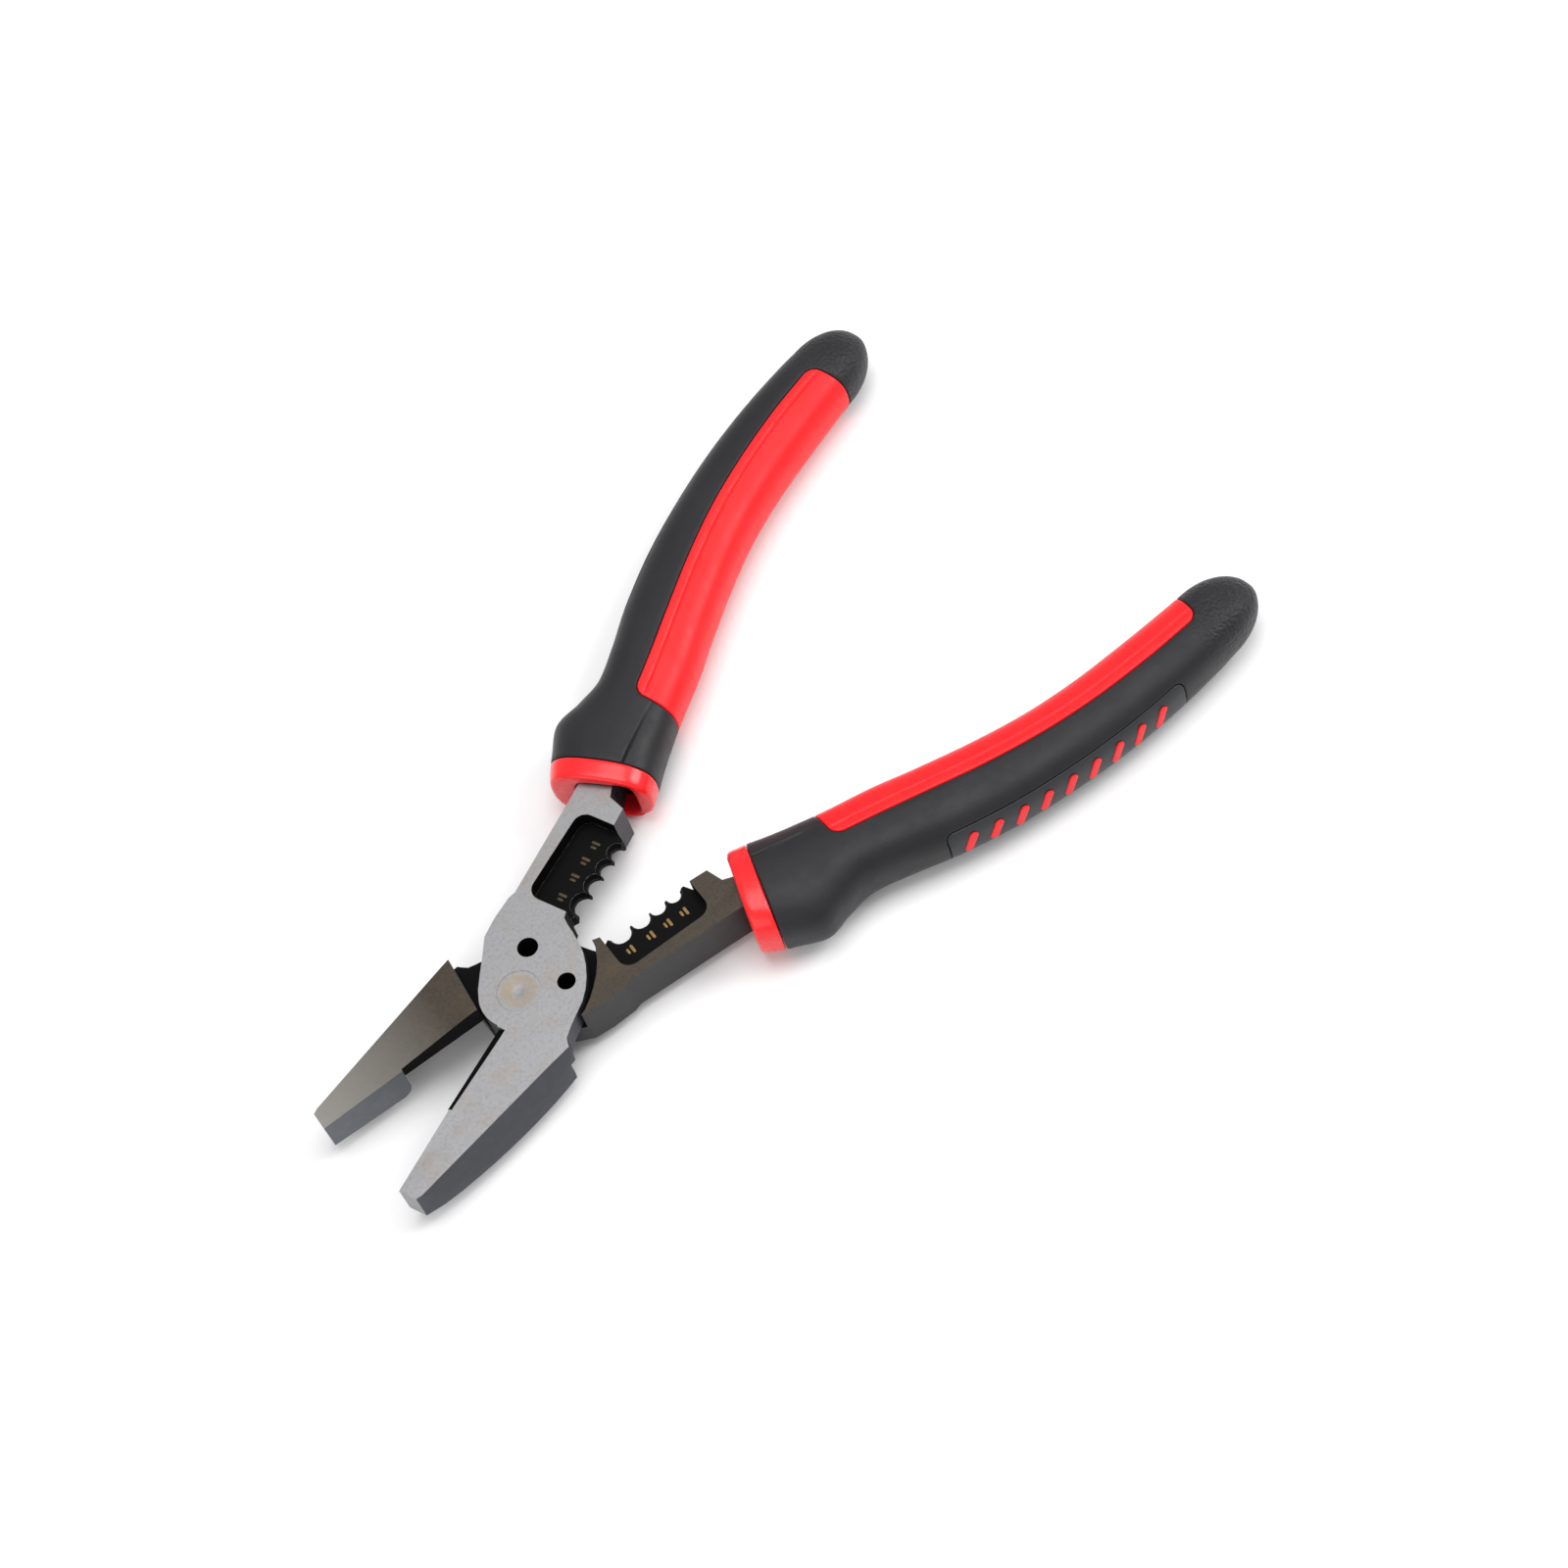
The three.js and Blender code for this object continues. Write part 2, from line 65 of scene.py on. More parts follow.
POCKET = {"left": -44.4, "right": -21.2, "outer_y": -11.4}
CUTTER = {"back": 9.4, "front": 30.6, "bottom_y": 6.4}
GRIP_FACE_Y = 0.9
JAW_TIP_X = 51.5
RIVET_HEAD_R = 4.96
RIVET_BORE_R = 5.1  # every face of the bore lies within this
HOLE_R = 2.5  # every face of a screw-shearing hole lies within this of its axis
HOLES = [(10.75, math.radians(-158.4)), (10.75, math.radians(127.7))]
NOTCHES_X = [-40.2, -35.8, -31.2, -25.8]
NOTCH_MARK_Y = -5.6
WEB_HALF = 1.7
STEEL_BEVEL = 0.2 * MM  # the broken edges of the steel
SHARP_STEEL = math.radians(24)  # edges sharper than this are bevelled
CREASED_STEEL = math.radians(38)
CREASED_RUBBER = math.radians(50)
CREASED_RIVET = math.radians(30)

# The grip's stations: x, y, half width towards the other handle, half width away from it, half thickness.
STATIONS = [
    (-51.0, -12.8, 13.3, 10.4, 8.6),
    (-57, -14.7, 13.6, 12.0, 8.8),
    (-64, -16.0, 12.9, 14.0, 8.6),
    (-70, -16.9, 12.4, 11.3, 8.3),
    (-77, -17.8, 11.8, 9.2, 8.0),
    (-87, -19.5, 11.7, 9.6, 8.0),
    (-98, -21.6, 11.1, 10.5, 8.0),
    (-112, -24.1, 10.7, 10.5, 7.9),
    (-126, -25.7, 10.3, 9.9, 7.9),
    (-140, -26.0, 10.1, 9.6, 7.8),
    (-154, -25.2, 9.9, 9.2, 7.8),
    (-166, -23.7, 9.3, 8.8, 7.6),
    (-172, -22.8, 9.0, 8.4, 7.4),
]
CAP = 13.6
POWER = 2.6
COLLAR_LENGTH = 5.2
COLLAR_BORE = {"inner": 9.8, "outer": 3.8, "half": 6.1}
INLAY = {"front": -75.3, "back": -169.8, "corner": 2.6, "lift_front": 2.2, "lift_back": 0.0}
PANEL = {"front": -94.0, "back": -157.3, "half": 4.9, "corner": 1.8, "side": 4.0}
# Soft creases moulded along the grip, by their height above the inlay's border.
CREASES = {
    "inlay": {"at": 2.4, "half": 0.5, "depth": 0.3},
    "cover": {"at": 5.0, "half": 0.45, "depth": 0.55, "fade": 24},
}
SEAM_HALF = 0.07
SEAM_ROUND = 0.4
SKIN = 1.9
AROUND = 88  # points round every ring of a grip
COLLAR_ROUND = 0.95
BARS = {"count": 9, "first_x": -101.0, "pitch": 6.0, "slant": 0.42, "size": (6.2, 2.1, 0.32), "sunk": 0.12}


# ---- plan to frame ---------------------------------------------------------------------------------------
def place(point, side):
    """A point of the closed plan, in millimetres, put on an arm as the tool lies, in metres."""
    x, y, z = point
    if side == "rear":
        y = -y
    c, s = math.cos(SWING[side]), math.sin(SWING[side])
    return Vector((x * c - y * s, x * s + y * c, z - HEAD_HALF)) * MM


def unplace(vector, side, direction=False):
    """The inverse of place(); a direction is only turned."""
    c, s = math.cos(SWING[side]), math.sin(SWING[side])
    scale = 1.0 if direction else 1000.0
    x, y, z = vector.x * scale, vector.y * scale, vector.z * scale
    px, py = x * c + y * s, -x * s + y * c
    if side == "rear":
        py = -py
    return px, py, z if direction else z + HEAD_HALF


# ---- materials -------------------------------------------------------------------------------------------
def linear(rgb):
    out = []
    for v in rgb:
        v /= 255
        out.append(v / 12.92 if v <= 0.04045 else ((v + 0.055) / 1.055) ** 2.4)
    return (*out, 1.0)


class Surface:
    """A procedural material: noise mixed into the colour, roughness and bump of a Principled shader."""

    def __init__(self, name, colour, rough, metallic=0.0, **sockets):
        self.mat = bpy.data.materials.new(name)
        self.mat.use_nodes = True
        self.tree = self.mat.node_tree
        self.shader = self.tree.nodes["Principled BSDF"]
        self.shader.inputs["Metallic"].default_value = metallic
        self.shader.inputs["Roughness"].default_value = rough
        for socket, value in sockets.items():
            self.shader.inputs[socket.replace("_", " ")].default_value = value
        self.shader.inputs["Base Color"].default_value = linear(colour)
        self.mat.diffuse_color = linear(colour)
        self.colour = linear(colour)
        self.coords = self.tree.nodes.new("ShaderNodeTexCoord").outputs["Object"]
        self.colour_out = None
        self.normal_out = None

    def node(self, kind, **values):
        made = self.tree.nodes.new(kind)
        for key, value in values.items():
            setattr(made, key, value)
        return made

    def link(self, out, into):
        self.tree.links.new(out, into)

    def noise(self, scale, detail=4.0, stretch=None, roughness=0.55):
        made = self.node("ShaderNodeTexNoise")
        made.inputs["Scale"].default_value = scale
        made.inputs["Detail"].default_value = detail
        made.inputs["Roughness"].default_value = roughness
        if stretch:
            turned = self.node("ShaderNodeMapping")
            turned.inputs["Rotation"].default_value = (0, 0, stretch[0])
            turned.inputs["Scale"].default_value = stretch[1]
            self.link(self.coords, turned.inputs["Vector"])
            self.link(turned.outputs["Vector"], made.inputs["Vector"])
        else:
            self.link(self.coords, made.inputs["Vector"])
        return made.outputs["Fac"]

    def ranged(self, value, low, high, to_low=0.0, to_high=1.0):
        made = self.node("ShaderNodeMapRange")
        made.inputs["From Min"].default_value = low
        made.inputs["From Max"].default_value = high
        made.inputs["To Min"].default_value = to_low
        made.inputs["To Max"].default_value = to_high
        self.link(value, made.inputs["Value"])
        return made.outputs["Result"]

    def maths(self, operation, a, b):
        made = self.node("ShaderNodeMath", operation=operation)
        for value, socket in ((a, made.inputs[0]), (b, made.inputs[1])):
            if isinstance(value, (int, float)):
                socket.default_value = value
            else:
                self.link(value, socket)
        return made.outputs[0]

    def tint(self, mask, colour):
        """Mixes a colour over what is there, by a mask from 0 to 1."""
        made = self.node("ShaderNodeMix", data_type="RGBA")
        self.link(mask, made.inputs["Factor"])
        # The colour sockets of a Mix node share their names with its float and vector ones.
        a, b = [i for i in made.inputs if i.type == "RGBA"]
        b.default_value = linear(colour)
        if self.colour_out is None:
            a.default_value = self.colour
        else:
            self.link(self.colour_out, a)
        self.colour_out = [o for o in made.outputs if o.type == "RGBA"][0]
        self.link(self.colour_out, self.shader.inputs["Base Color"])
        return self

    def roughened(self, value, low, high):
        self.link(self.ranged(value, 0.25, 0.75, low, high), self.shader.inputs["Roughness"])
        return self

    def bumped(self, height, distance, strength=1.0):
        made = self.node("ShaderNodeBump")
        made.inputs["Distance"].default_value = distance
        made.inputs["Strength"].default_value = strength
        self.link(height, made.inputs["Height"])
        if self.normal_out is not None:
            self.link(self.normal_out, made.inputs["Normal"])
        self.normal_out = made.outputs["Normal"]
        self.link(self.normal_out, self.shader.inputs["Normal"])
        return self

    def axis(self, swing, which):
        """The distance in metres along an arm's own closed-plan axis."""
        turned = self.node("ShaderNodeMapping")
        turned.inputs["Rotation"].default_value = (0, 0, -swing)
        self.link(self.coords, turned.inputs["Vector"])
        split = self.node("ShaderNodeSeparateXYZ")
        self.link(turned.outputs["Vector"], split.inputs["Vector"])
        return split.outputs[which]


def ground_steel(name, colour, dark, pale, warm, swing):
    s = Surface(name, colour, 0.4, metallic=0.85, Specular_IOR_Level=0.5)
    grains = s.noise(2600, 3.0)
    s.tint(s.ranged(grains, 0.44, 0.74, 0.0, 0.45), pale)
    s.tint(s.ranged(s.noise(1300, 5.0), 0.48, 0.74, 0.0, 0.5), dark)
    s.tint(s.ranged(s.noise(130, 5.0), 0.49, 0.71, 0.0, 0.45), warm)
    streaks = s.noise(420, 5.0, stretch=(-swing, (0.12, 1.0, 1.0)))
    s.roughened(streaks, 0.34, 0.52)
    s.bumped(streaks, 0.00002, 0.5)
    s.bumped(grains, 0.00003, 0.6)
    return s


def oxide_steel(name, colour, pale, rough=0.46, metallic=0.5):
    s = Surface(name, colour, rough, metallic=metallic, Specular_IOR_Level=0.45)
    blotches = s.noise(260, 6.0)
    s.tint(s.ranged(blotches, 0.48, 0.78, 0.0, 0.5), pale)
    grains = s.noise(3200, 3.0)
    s.roughened(blotches, rough - 0.07, rough + 0.1)
    s.bumped(grains, 0.00004, 0.7)
    s.bumped(blotches, 0.00006, 0.3)
    return s


face_front = ground_steel("ground_face_silver", (144, 144, 146), (112, 112, 114), (168, 168, 170),
                          (144, 131, 115), SWING["front"])
face_rear = ground_steel("ground_face_dark", (66, 60, 53), (44, 40, 36), (88, 81, 72), (84, 70, 54),
                         SWING["rear"])
# Painted reflection: the dark ground face is lightened towards the jaw tip.
painted_reflection_towards_tip = face_rear.ranged(face_rear.axis(SWING["rear"], "X"), 0.016, 0.056, 0.0, 0.75)
face_rear.tint(painted_reflection_towards_tip, (160, 158, 153))
side_oxide = oxide_steel("forged_side_oxide", (62, 63, 68), (80, 81, 87))
side_dark = oxide_steel("forged_side_dark", (50, 49, 49), (70, 68, 66))
# Near-black: the black oxide in the stripping pocket, and painted shade where arm_slot puts it on the walls
# beside the plate, the lap faces, the walls of the holes and the rivet bore, and the cutter's bevel.
near_black_oxide_and_shade = oxide_steel("black_oxide_and_painted_shade", (8, 7, 7), (18, 16, 15), rough=0.55, metallic=0.0)
near_black_oxide_and_shade.shader.inputs["Specular IOR Level"].default_value = 0.07
jaw_grip = oxide_steel("jaw_grip_face", (96, 99, 104), (120, 123, 128), rough=0.5)


def rubber(name, colour, pale, dark, rough, grain_depth):
    s = Surface(name, colour, rough, Specular_IOR_Level=0.3, Sheen_Weight=0.04, Sheen_Roughness=0.5)
    grains = s.noise(1900, 4.0)
    cloud = s.noise(90, 5.0)
    s.tint(s.ranged(cloud, 0.4, 0.75, 0.0, 0.35), pale)
    s.tint(s.ranged(grains, 0.55, 0.75, 0.0, 0.4), dark)
    s.roughened(s.noise(300, 5.0), rough - 0.06, rough + 0.08)
    s.bumped(grains, grain_depth, 0.6)
    return s


def textured_end(s, swing):
    """A fine stipple moulded into the grip's free end."""
    cells = s.node("ShaderNodeTexVoronoi")
    cells.inputs["Scale"].default_value = 1250
    s.link(s.coords, cells.inputs["Vector"])
    along = s.axis(swing, "X")
    far = s.ranged(along, -0.163, -0.172)
    height = s.maths("MULTIPLY", cells.outputs["Distance"], far)
    return s.bumped(height, 0.00022, 0.8)


rubber_black = {}
for side in ("front", "rear"):
    plain = rubber("grip_rubber_" + side, (26, 26, 29), (38, 38, 42), (18, 18, 20), 0.46, 0.00005)
    rubber_black[side] = textured_end(plain, SWING[side])
rubber_panel = rubber("panel_rubber", (38, 39, 42), (52, 53, 56), (28, 28, 31), 0.42, 0.00004)
red_inlay = rubber("inlay_red", (236, 16, 24), (246, 34, 38), (216, 10, 18), 0.42, 0.00003)
red_gloss = rubber("collar_red", (236, 16, 24), (246, 34, 38), (214, 10, 16), 0.27, 0.00001)
red_gloss.shader.inputs["Coat Weight"].default_value = 0.35
red_gloss.shader.inputs["Coat Roughness"].default_value = 0.18
sleeve_plastic = rubber("sleeve_plastic", (30, 30, 32), (44, 44, 46), (22, 22, 24), 0.5, 0.00003)


def rivet_steel():
    """Ground steel with a worn, faintly tan ring round the middle of each head."""
    s = ground_steel("rivet_steel", (144, 144, 145), (112, 112, 113), (168, 168, 169), (144, 131, 115), 0)
    flat = s.node("ShaderNodeVectorMath", operation="MULTIPLY")
    flat.inputs[1].default_value = (1, 1, 0)
    s.link(s.coords, flat.inputs[0])
    far = s.node("ShaderNodeVectorMath", operation="LENGTH")
    s.link(flat.outputs[0], far.inputs[0])
    radius = far.outputs["Value"]
    inside = s.ranged(radius, 0.0012, 0.0022)
    outside = s.ranged(radius, 0.0044, 0.0036)
    ring = s.maths("MULTIPLY", inside, outside)
    worn = s.maths("MULTIPLY", ring, s.ranged(s.noise(700, 5.0), 0.3, 0.62, 0.15, 0.75))
    s.tint(worn, (148, 132, 108))
    turns = s.node("ShaderNodeTexWave", wave_type="RINGS", rings_direction="Z")
    turns.inputs["Scale"].default_value = 900
    s.link(s.coords, turns.inputs["Vector"])
    s.bumped(turns.outputs["Fac"], 0.00001, 0.4)
    return s


rivet_look = rivet_steel()
mark_gold = oxide_steel("etched_mark", (128, 100, 58), (160, 130, 84), rough=0.4, metallic=0.5)
mark_dim = oxide_steel("etched_mark_dim", (70, 57, 38), (90, 74, 50), rough=0.45, metallic=0.4)


# ---- pieces ----------------------------------------------------------------------------------------------
STEEL_SLOT = {"front": "ground_steel", "rear": "dark_steel"}


def mesh_of(bm, name, crease):
    """Turns a bmesh into a smooth mesh whose edges above the crease angle stay sharp, and frees it."""
    bm.normal_update()
    for f in bm.faces:
        f.smooth = True
    for e in bm.edges:
        e.smooth = len(e.link_faces) == 2 and e.calc_face_angle(0) < crease
    mesh = bpy.data.meshes.new(name)
    bm.to_mesh(mesh)
    bm.free()
    return mesh


def join_rings(bm, a, b):
    """Faces between two closed rings of vertices; a ring of one vertex closes to a point."""
    around = max(len(a), len(b))
    for j in range(around):
        k = (j + 1) % around
        corners = [a[j % len(a)], b[j % len(b)], b[k % len(b)], a[k % len(a)]]
        bm.faces.new(list(dict.fromkeys(corners)))


def new_object(name, mesh, body, slot, materials, replaces=()):
    for m in materials:
        mesh.materials.append(m.mat)
    made = bpy.data.objects.new(name, mesh)
    bpy.context.scene.collection.objects.link(made)
    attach(made, body)
    if replaces:
        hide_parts(*replaces)
    return made


GROUND, FORGED, OXIDE_AND_SHADE, GRIPPING = range(4)  # the materials of an arm, in the order of its slots


def arm_slot(centre, normal, side):
    """The material of one face of an arm, from its centre and normal in the closed plan."""
    x, y, z = centre
    nx, ny, nz = normal
    near = 0.1
    flat = abs(nz) > 0.9
    in_pocket = POCKET["left"] - near < x < POCKET["right"] + near and y > POCKET["outer_y"] - near
    if in_pocket and abs(z) < HEAD_HALF - near / 2:
        return OXIDE_AND_SHADE
    # Painted shade: the walls beside the plate, the lap faces, the walls of the holes and the bore, and the
    # cutter's bevel get the near-black material.
    beside_plate = -23.5 < x < -18.3 and y > -2.5
    if beside_plate and not flat:
        return OXIDE_AND_SHADE
    if flat and abs(z) < LAP_GAP + 2 * near:
        return OXIDE_AND_SHADE
    for radius, angle in HOLES:
        away = math.hypot(x - radius * math.cos(angle), y - radius * math.sin(angle))
        if away < HOLE_R and abs(nz) < 0.5:
            return OXIDE_AND_SHADE
    if math.hypot(x, y) < RIVET_BORE_R and not flat:
        return OXIDE_AND_SHADE
    by_cutter = CUTTER["back"] - near < x < CUTTER["front"] + near and y < CUTTER["bottom_y"] + 2 * near
    if by_cutter and ny < -0.2:
        return OXIDE_AND_SHADE
    if flat and abs(z) > 3.9:
        return GROUND
    if nx > 0.9 and x > JAW_TIP_X - 0.5:
        return GROUND if side == "front" else GRIPPING
    if x > CUTTER["front"] - 1 and y < GRIP_FACE_Y + near:
        return GRIPPING
    return FORGED


def arm(side, looks):
    """A copy of the arm's CAD mesh with broken edges and a material for each kind of face."""
    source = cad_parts[side + "_arm"].data
    bm = bmesh.new()
    bm.from_mesh(source)
    bmesh.ops.remove_doubles(bm, verts=bm.verts, dist=1e-6)
    bmesh.ops.dissolve_limit(bm, angle_limit=math.radians(0.8), verts=bm.verts, edges=bm.edges)
    bmesh.ops.dissolve_degenerate(bm, dist=2e-5, edges=bm.edges)
    bm.normal_update()
    for f in bm.faces:
        f.material_index = arm_slot(
            unplace(f.calc_center_median(), side), unplace(f.normal, side, direction=True), side
        )

    def at_rivet(edge):
        return all(math.hypot(v.co.x, v.co.y) < (RIVET_BORE_R + 0.1) * MM for v in edge.verts)

    sharp = [e for e in bm.edges if len(e.link_faces) == 2 and e.calc_face_angle(0) > SHARP_STEEL
             and not at_rivet(e)]
    bmesh.ops.bevel(bm, geom=sharp, offset=STEEL_BEVEL, offset_type="OFFSET", segments=2, profile=0.6,
                    affect="EDGES", clamp_overlap=True, loop_slide=True, harden_normals=False)
    bmesh.ops.remove_doubles(bm, verts=bm.verts, dist=5e-7)
    mesh = mesh_of(bm, side + "_arm_steel", CREASED_STEEL)
    made = new_object(side + "_arm_steel", mesh, side, STEEL_SLOT[side], looks, [side + "_arm"])
    weighted = made.modifiers.new("flat_faces", "WEIGHTED_NORMAL")
    weighted.keep_sharp = True
    weighted.weight = 90
    return made


# ---- grips -----------------------------------------------------------------------------------------------
def curve_point(column, t):
    """The uniform Catmull-Rom curve through the stations, at t from 0 to 1."""
    last = len(STATIONS) - 1
    at = min(max(t, 0.0), 1.0) * last
    i = min(int(at), last - 1)
    w = at - i
    p1, p2 = STATIONS[i][column], STATIONS[i + 1][column]
    p0 = STATIONS[i - 1][column] if i > 0 else 2 * p1 - p2
    p3 = STATIONS[i + 2][column] if i + 2 <= last else 2 * p2 - p1
    m1, m2 = 0.5 * (p2 - p0), 0.5 * (p3 - p1)
    return (
        (2 * p1 - 2 * p2 + m1 + m2) * w ** 3
        + (-3 * p1 + 3 * p2 - 2 * m1 - m2) * w ** 2
        + m1 * w
        + p1
    )


def line_point(t):
    return Vector((curve_point(0, t), curve_point(1, t)))


def line_tangent(t):
    a, b = max(t - 1e-4, 0.0), min(t + 1e-4, 1.0)
    return (line_point(b) - line_point(a)).normalized()


LENGTH_STEPS = 2000
lengths = [0.0]  # along the centre line, at each step of t
for step in range(LENGTH_STEPS):
    piece = line_point((step + 1) / LENGTH_STEPS) - line_point(step / LENGTH_STEPS)
    lengths.append(lengths[-1] + piece.length)
LINE_LENGTH = lengths[-1]


def t_at(length):
    """Where along the curve, from 0 to 1, a length of the centre line ends."""
    low, high = 0, LENGTH_STEPS
    while high - low > 1:
        mid = (low + high) // 2
        if lengths[mid] < length:
            low = mid
        else:
            high = mid
    share = (length - lengths[low]) / max(lengths[high] - lengths[low], 1e-9)
    return (low + min(max(share, 0.0), 1.0)) / LENGTH_STEPS


CENTRE_STEPS = 400
centre_table = [tuple(line_point(i / CENTRE_STEPS)) for i in range(CENTRE_STEPS + 1)]


def grip_centre(x):
    """The y of the grip's centre line at x, carried on straight past both ends."""
    if x >= centre_table[0][0]:
        return centre_table[0][1]
    for (xa, ya), (xb, yb) in zip(centre_table, centre_table[1:]):
        if xb <= x <= xa:
            return ya + (yb - ya) * (xa - x) / max(xa - xb, 1e-9)
    (xa, ya), (xb, yb) = centre_table[-2:]
    return yb + (yb - ya) / (xb - xa) * (x - xb)


def t_at_x(x):
    """Where along the curve, from 0 to 1, the centre line passes x."""
    low, high = 0.0, 1.0
    for _ in range(30):
        t = (low + high) / 2
        if line_point(t).x > x:
            low = t
        else:
            high = t
    return t


def ring(t, cap, inset):
    """One ring of the grip: at t along it, cap from 0 to 1 round its rounded end, pulled in by inset."""
    centre, along = line_point(t), line_tangent(t)
    across = Vector((along.y, -along.x))
    inner, outer = curve_point(2, t), curve_point(3, t)
    half = curve_point(4, t) - inset
    shrink = math.cos(cap * math.pi / 2)
    centre = centre + along * (CAP - inset) * math.sin(cap * math.pi / 2)
    points = []
    for i in range(AROUND):
        a = 2 * math.pi * i / AROUND
        c, s = math.cos(a), math.sin(a)
        width = (inner if c > 0 else outer) - inset
        u = math.copysign(abs(c) ** (2 / POWER), c) * width * shrink
        v = math.copysign(abs(s) ** (2 / POWER), s) * half * shrink
        points.append((centre.x + across.x * u, centre.y + across.y * u, v))
    return points


def rounded_corner(a, b, corner):
    """Signed distance inside two borders that meet in a rounded corner."""
    if a < corner and b < corner:
        return corner - math.hypot(corner - a, corner - b)
    return min(a, b)


def inlay_height(x, y):
    """How far a point stands above the inlay's long border, towards the other handle."""
    share = (INLAY["front"] - x) / (INLAY["front"] - INLAY["back"])
    lift = INLAY["lift_front"] + (INLAY["lift_back"] - INLAY["lift_front"]) * min(max(share, 0), 1)
    return y - grip_centre(x) - lift


def inlay_depth(x, y):
    """How far a point of the skin is inside the inlay's border, negative outside it."""
    ends = min(INLAY["front"] - x, x - INLAY["back"])
    return rounded_corner(ends, inlay_height(x, y), INLAY["corner"])


def panel_depth(x, y, z):
    """How far a point of the skin is inside the panel's border, negative outside it."""
    ends = min(PANEL["front"] - x, x - PANEL["back"])
    inside = rounded_corner(ends, PANEL["half"] - abs(z), PANEL["corner"])
    return min(inside, grip_centre(x) - PANEL["side"] - y)


class Skin:
    """A surface of polygons with named numbers at its vertices, which can be split along a level of one."""

    def __init__(self):
        self.points, self.values, self.faces = [], [], []

    def add(self, point, values):
        self.points.append(tuple(point))
        self.values.append(dict(values))
        return len(self.points) - 1

    def split(self, key, level):
        """Splits every polygon that crosses the level, so that edges follow it."""
        made = {}

        def crossing(i, j):
            pair = (min(i, j), max(i, j))
            if pair not in made:
                a, b = self.values[pair[0]], self.values[pair[1]]
                w = (level - a[key]) / (b[key] - a[key])
                p, q = self.points[pair[0]], self.points[pair[1]]
                made[pair] = self.add(
                    [p[k] + (q[k] - p[k]) * w for k in range(3)],
                    {k: a[k] + (b[k] - a[k]) * w for k in a},
                )
                self.values[made[pair]][key] = level
            return made[pair]

        faces = []
        for face in self.faces:
            signs = [self.values[i][key] - level for i in face]
            if max(signs) <= 1e-7 or min(signs) >= -1e-7:
                faces.append(face)
                continue
            above, below = [], []
            for n, i in enumerate(face):
                j = face[(n + 1) % len(face)]
                si, sj = signs[n], signs[(n + 1) % len(face)]
                if si >= 0:
                    above.append(i)
                if si <= 0:
                    below.append(i)
                if (si > 1e-9 and sj < -1e-9) or (si < -1e-9 and sj > 1e-9):
                    k = crossing(i, j)
                    above.append(k)
                    below.append(k)
            for part in (above, below):
                if len(set(part)) >= 3:
                    faces.append(list(dict.fromkeys(part)))
        self.faces = faces

    def normals(self):
        total = [Vector((0, 0, 0)) for _ in self.points]
        for face in self.faces:
            ps = [Vector(self.points[i]) for i in face]
            n = Vector((0, 0, 0))
            for a, b in zip(ps, ps[1:] + ps[:1]):
                n += (a - ps[0]).cross(b - ps[0])
            for i in face:
                total[i] += n
        return [n.normalized() if n.length > 1e-12 else Vector((0, 0, 1)) for n in total]


def round_off(distance, radius):
    """How far a rounded edge falls below its face, at a distance in from the border."""
    d = min(max(distance, 0.0), radius)
    return radius - math.sqrt(max(radius ** 2 - (radius - d) ** 2, 0.0))


def grip_skin():
    """The outside of the grip behind its collar, split along every border and crease."""
    skin = Skin()
    start = COLLAR_LENGTH + SEAM_HALF
    steps, cap_steps, far_behind = 150, 22, 99.0

    def add(x, y, z, behind):
        return skin.add((x, y, z), {"inlay": inlay_depth(x, y), "panel": panel_depth(x, y, z),
                                    "behind": behind, "height": inlay_height(x, y)})

    places = [start + d for d in (0, 0.06, 0.16, 0.3, SEAM_ROUND)]
    for i in range(1, steps + 1):
        places.append(start + SEAM_ROUND + (LINE_LENGTH - start - SEAM_ROUND) * i / steps)
    rows = [(t_at(d), 0.0, d - start) for d in places]
    for i in range(1, cap_steps):
        rows.append((1.0, i / cap_steps, far_behind))
    index = [[add(*p, behind) for p in ring(t, cap, 0.0)] for t, cap, behind in rows]
    for a, b in zip(index, index[1:]):
        for j in range(AROUND):
            k = (j + 1) % AROUND
            skin.faces.append([a[j], b[j], b[k], a[k]])
    tip = line_point(1.0) + line_tangent(1.0) * CAP
    pole = add(tip.x, tip.y, 0.0, far_behind)
    for j in range(AROUND):
        skin.faces.append([index[-1][j], pole, index[-1][(j + 1) % AROUND]])
    for key in ("inlay", "panel"):
        for level in (-SEAM_HALF, SEAM_HALF):
            skin.split(key, level)
            for share in (0.15, 0.45, 1.0):
                skin.split(key, level + math.copysign(SEAM_ROUND * share, level))
    for crease in CREASES.values():
        for offset in (-1.0, -0.45, 0.0, 0.45, 1.0):
            skin.split("height", crease["at"] + offset * crease["half"])
    return skin


def crease_depth(values):
    """How far a point sinks into a crease: one runs along the inlay, one fades out behind the collar."""
    crease = CREASES["inlay" if values["inlay"] > 0 else "cover"]
    away = abs(values["height"] - crease["at"]) / crease["half"]
    if values["inlay"] > 0:
        fade = min(1.0, values["inlay"] / 1.5)
    else:
        fade = min(1.0, max(0.0, 1 - values["behind"] / crease["fade"]))
    return crease["depth"] * max(0.0, 1 - away) * fade


